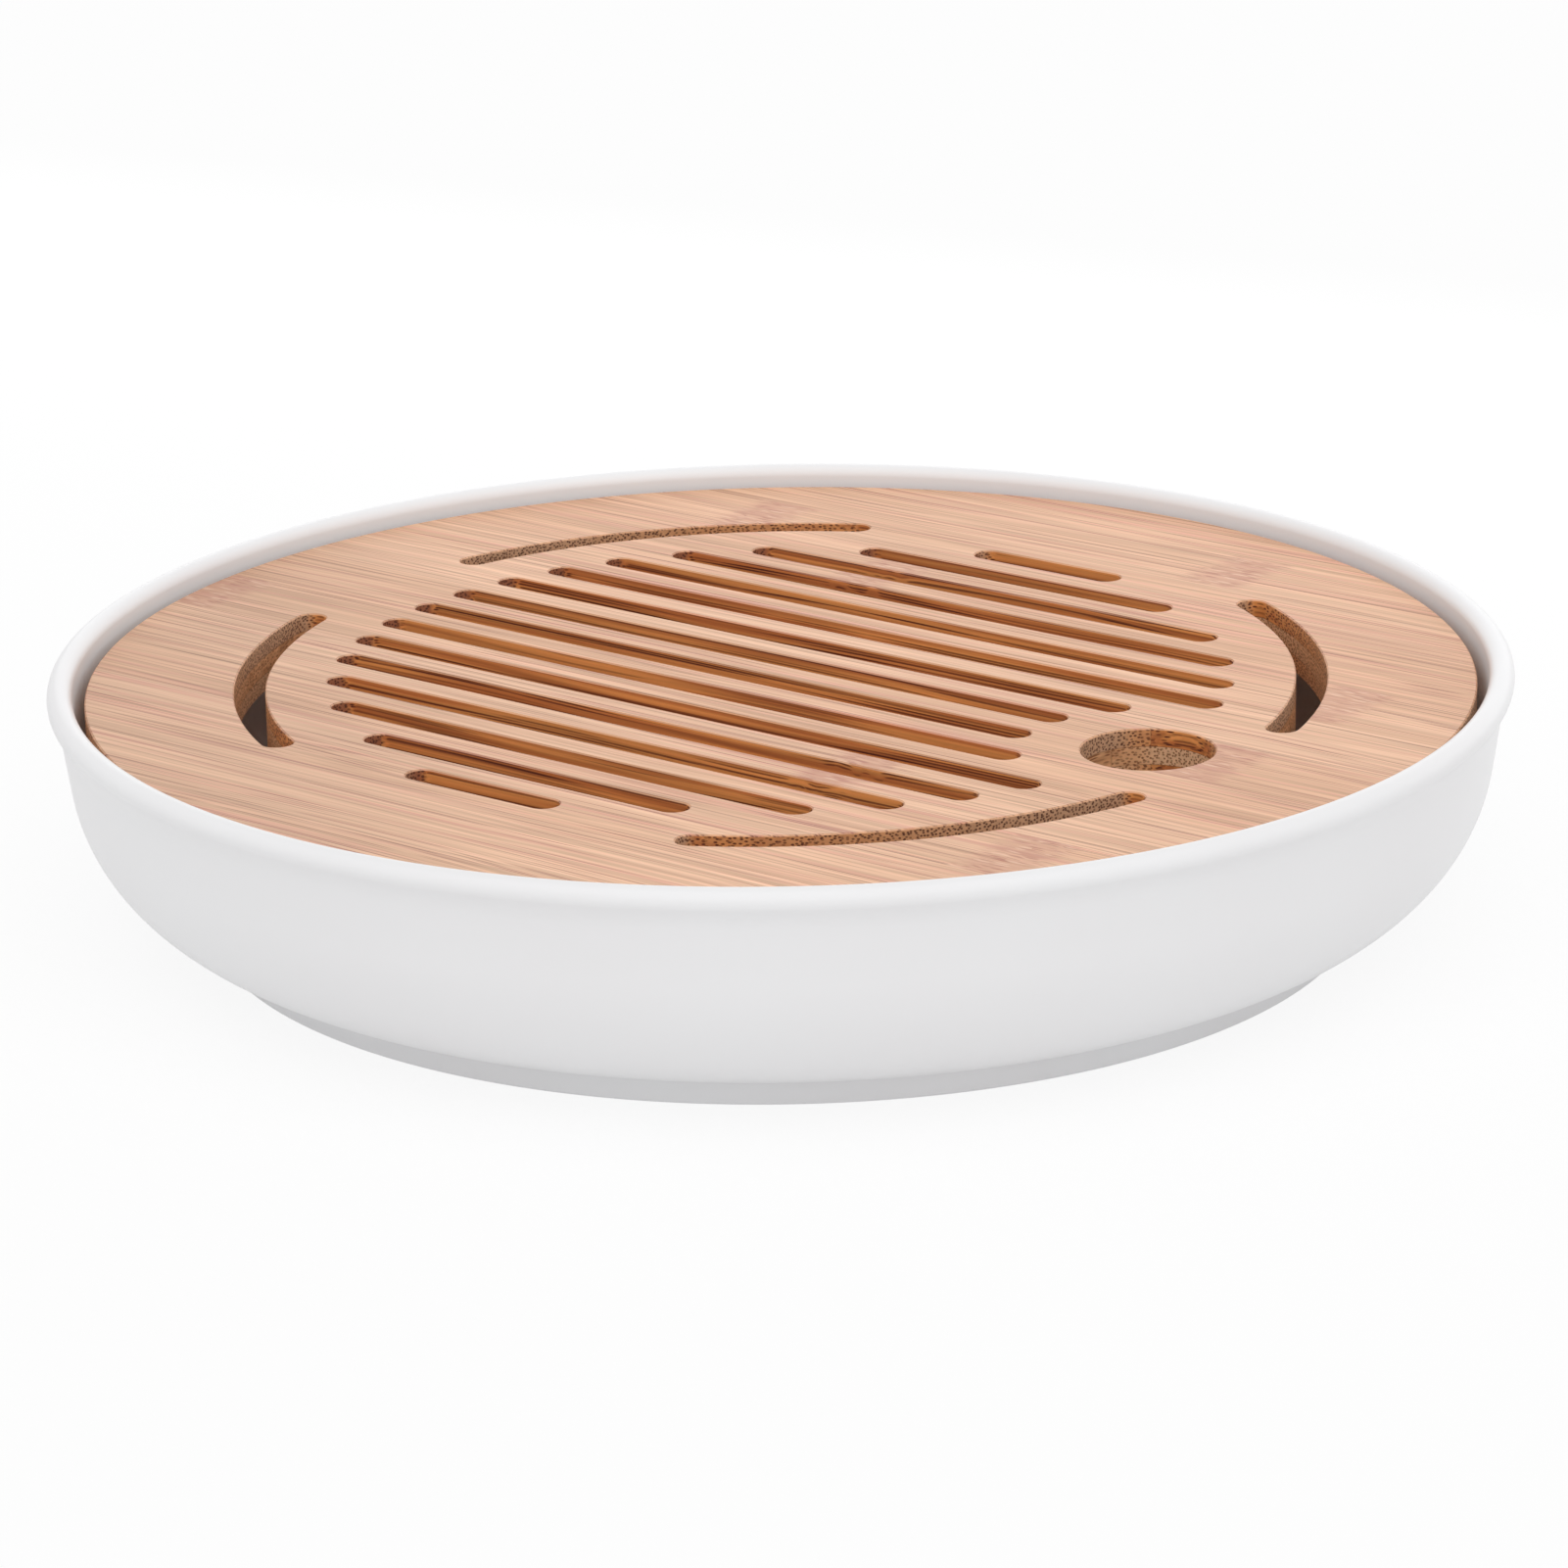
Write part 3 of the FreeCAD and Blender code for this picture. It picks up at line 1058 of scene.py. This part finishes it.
@dataclass
class LidBoard:
    """Bamboo board of three crossed plies, with its drain slots, arc slots and finger hole.

    Attributes:
        strip_width: width of one strip.
        back_low: level of the board's underside.
        core_low: level between back and core.
        face_low: level between core and face.
        face_top: level of the board's top.
        knuckles: marks of the cane's joints on the face.
        back_knuckles: marks of them on the back.
    """

    strip_width: float = 21.15
    back_low: float = 35.7
    core_low: float = 39.2
    face_low: float = 42.7
    face_top: float = 46.2
    knuckles: tuple[Knuckle, ...] = (
        Knuckle(5, 34.0), Knuckle(4, -71.0), Knuckle(3, -25.0), Knuckle(2, 99.0),
        Knuckle(0, 100.0), Knuckle(-1, -127.0), Knuckle(-2, 47.5), Knuckle(-3, 101.0),
    )
    back_knuckles: tuple[Knuckle, ...] = (
        Knuckle(5, -40.0), Knuckle(3, 60.0), Knuckle(1, -104.0), Knuckle(-2, 12.0), Knuckle(-4, -66.0),
    )

    def finishes(self) -> dict[Ply, Bamboo]:
        """Finish of each ply, with paler cuts in the core and the back than in the face.

        Returns:
            The finishes by ply.
        """
        pale_ends = {"end": srgb(226, 172, 126), "end_bare": srgb(228, 184, 144), "end_dot": srgb(134, 88, 56)}
        pale_walls = {
            "wall": srgb(226, 174, 128), "wall_brown": srgb(208, 154, 110), "wall_line": srgb(152, 100, 66),
        }
        face = Bamboo(
            "bamboo_face", Grain.ALONG_SLOTS, self.strip_width, self.face_low, self.face_top,
            seed=3.0, knuckles=self.knuckles,
        )
        core = Bamboo(
            "bamboo_core", Grain.ACROSS_SLOTS, self.strip_width, self.core_low, self.face_low,
            seed=41.0, **pale_walls, **pale_ends,
        )
        back = Bamboo(
            "bamboo_back", Grain.ALONG_SLOTS, self.strip_width, self.back_low, self.core_low,
            seed=87.0, knuckles=self.back_knuckles, **pale_ends,
        )
        return {Ply.FACE: face, Ply.CORE: core, Ply.BACK: back}

    def dress(self, nodes: dict[str, bpy.types.Object]) -> dict[Ply, int]:
        """Gives every strip its ply's finish.

        Args:
            nodes: the CAD nodes by name.

        Returns:
            Number of strips dressed, by ply.
        """
        counts = {}
        for ply, finish in self.finishes().items():
            material = finish.material()
            strips = [node for name, node in sorted(nodes.items()) if name.startswith(ply.value)]
            for strip in strips:
                strip.data.materials.clear()
                strip.data.materials.append(material)
            counts[ply] = len(strips)
        return counts


@dataclass
class Studio:
    """Pale floor under an even dome of light, with a soft key lamp in front and a low panel behind the tray.

    Attributes:
        floor_side: side of the floor.
        dome_level: the dome's light on the tray.
        dome_seen: the dome's level where it is seen or reflected.
        key_level: the key lamp's light.
        key_spread: degrees that it spreads over.
        key_tilt: degrees that it leans from straight above.
        key_turn: degrees that it stands round from the -Y side.
        panel_watts: power of the panel.
        panel_size: its width and height.
        panel_place: where its middle stands.
        finish: the floor's finish.
    """

    floor_side: float = 16000.0
    dome_level: float = 0.66
    dome_seen: float = 1.0
    key_level: float = 0.38
    key_spread: float = 75.0
    key_tilt: float = 32.0
    key_turn: float = 40.0
    panel_watts: float = 0.6
    panel_size: Span = (1200.0, 260.0)
    panel_place: Vector = field(default_factory=lambda: Vector((-90.0, 450.0, 190.0)))
    finish: PaleFloor = PaleFloor()

    def build(self) -> tuple[bpy.types.Object, ...]:
        """Makes the dome, the floor and the lamps.

        Returns:
            The floor and the lamps.
        """
        self.light_dome()
        return self.lay_floor(), self.hang_key(), self.stand_panel()

    def lay_floor(self) -> bpy.types.Object:
        """Lays the floor at the foot ring's level.

        Returns:
            The floor's object.
        """
        half = self.floor_side / 2 * MM
        mesh = bpy.data.meshes.new("studio_floor")
        corners = [(-half, -half, 0.0), (half, -half, 0.0), (half, half, 0.0), (-half, half, 0.0)]
        mesh.from_pydata(corners, [], [(0, 1, 2, 3)])
        mesh.materials.append(self.finish.material())
        floor = add_to_scene("studio_floor", mesh)
        return floor

    def light_dome(self) -> None:
        """Lights the tray from all round, and shows white behind it."""
        world = bpy.data.worlds.new("studio_dome")
        world.use_nodes = True
        bpy.context.scene.world = world
        wiring = Wiring(world.node_tree)
        ray = wiring.node("ShaderNodeLightPath").outputs
        seen = wiring.math("MAXIMUM", ray["Is Camera Ray"], ray["Is Glossy Ray"])
        seen = wiring.math("MAXIMUM", seen, ray["Is Transmission Ray"])
        level = wiring.between(seen, self.dome_level, self.dome_seen)
        dome = wiring.node("ShaderNodeBackground", {"Color": WHITE_LIGHT, "Strength": level})
        wiring.node("ShaderNodeOutputWorld", {"Surface": dome.outputs[0]})

    def hang_key(self) -> bpy.types.Object:
        """Hangs the key lamp, broad and soft.

        Returns:
            The lamp's object.
        """
        light = bpy.data.lights.new("key_lamp", "SUN")
        light.energy = self.key_level * math.pi
        light.angle = math.radians(self.key_spread)
        lamp = add_to_scene("key_lamp", light)
        turn = Matrix.Rotation(math.radians(self.key_turn), 4, "Z")
        lamp.matrix_world = turn @ Matrix.Rotation(math.radians(self.key_tilt), 4, "X")
        return lamp

    def stand_panel(self) -> bpy.types.Object:
        """Stands the panel behind the tray, facing it.

        Returns:
            The panel's object.
        """
        light = bpy.data.lights.new("back_panel", "AREA")
        light.energy = self.panel_watts
        light.shape = "RECTANGLE"
        light.size, light.size_y = (side * MM for side in self.panel_size)
        panel = add_to_scene("back_panel", light)
        aim = self.panel_place.to_track_quat("Z", "Y").to_matrix().to_4x4()
        panel.matrix_world = Matrix.Translation(self.panel_place * MM) @ aim
        return panel


@dataclass
class PhotoCamera:
    """Camera at the photograph's place.

    Attributes:
        focal_pixels: focal length in pixels of the picture.
        picture_pixels: side of the picture in pixels.
        sensor_width: width of the sensor.
        clip: nearest and farthest distance that it sees, in metres.
        elevation: degrees above the lid's plane.
        azimuth: degrees round from the -Y side.
        roll: degrees that the picture leans.
        distance: from the aim point.
        aim: the point in the lid's plane that the picture's middle shows, before the turn by azimuth.
    """

    focal_pixels: float = 6240.0
    picture_pixels: float = 1601.0
    sensor_width: float = 36.0
    clip: Span = (0.05, 60.0)
    elevation: float = 18.1649
    azimuth: float = 38.1409
    roll: float = -1.0011
    distance: float = 1107.01
    aim: Vector = field(default_factory=lambda: Vector((0.300, -69.600, 46.2)))

    def build(self) -> bpy.types.Object:
        """Sets up the scene's camera.

        Returns:
            The camera's object.
        """
        lift, lean = math.radians(self.elevation), math.radians(self.roll)
        forward = Vector((0.0, math.cos(lift), -math.sin(lift)))
        level_right = Vector((1.0, 0.0, 0.0))
        level_up = level_right.cross(forward)
        right = math.cos(lean) * level_right + math.sin(lean) * level_up
        up = math.cos(lean) * level_up - math.sin(lean) * level_right
        place = (self.aim - self.distance * forward) * MM
        axes = Matrix((right, up, -forward)).transposed().to_4x4()
        turn = Matrix.Rotation(math.radians(self.azimuth), 4, "Z")
        data = bpy.data.cameras.new("photo_camera")
        data.sensor_width = self.sensor_width
        data.lens = self.focal_pixels / self.picture_pixels * self.sensor_width
        data.clip_start, data.clip_end = self.clip
        camera = add_to_scene("photo_camera", data)
        camera.matrix_world = turn @ Matrix.Translation(place) @ axes
        bpy.context.scene.camera = camera
        return camera


def main() -> None:
    """Builds the tray and its studio in order."""
    logging.basicConfig(level=logging.INFO, format="%(message)s")
    bpy.context.scene.view_settings.view_transform = "Standard"
    camera = PhotoCamera().build()
    LOG.info("camera: lens %.2f mm", camera.data.lens)
    bowl = Bowl().build()
    LOG.info("bowl: %d faces", len(bowl.data.polygons))
    for ply, count in LidBoard().dress(frame["nodes"]).items():
        LOG.info("lid, %s: %d strips", ply.name.lower(), count)
    for thing in Studio().build():
        LOG.info("studio: %s", thing.name)


if __name__ == "__main__":
    main()
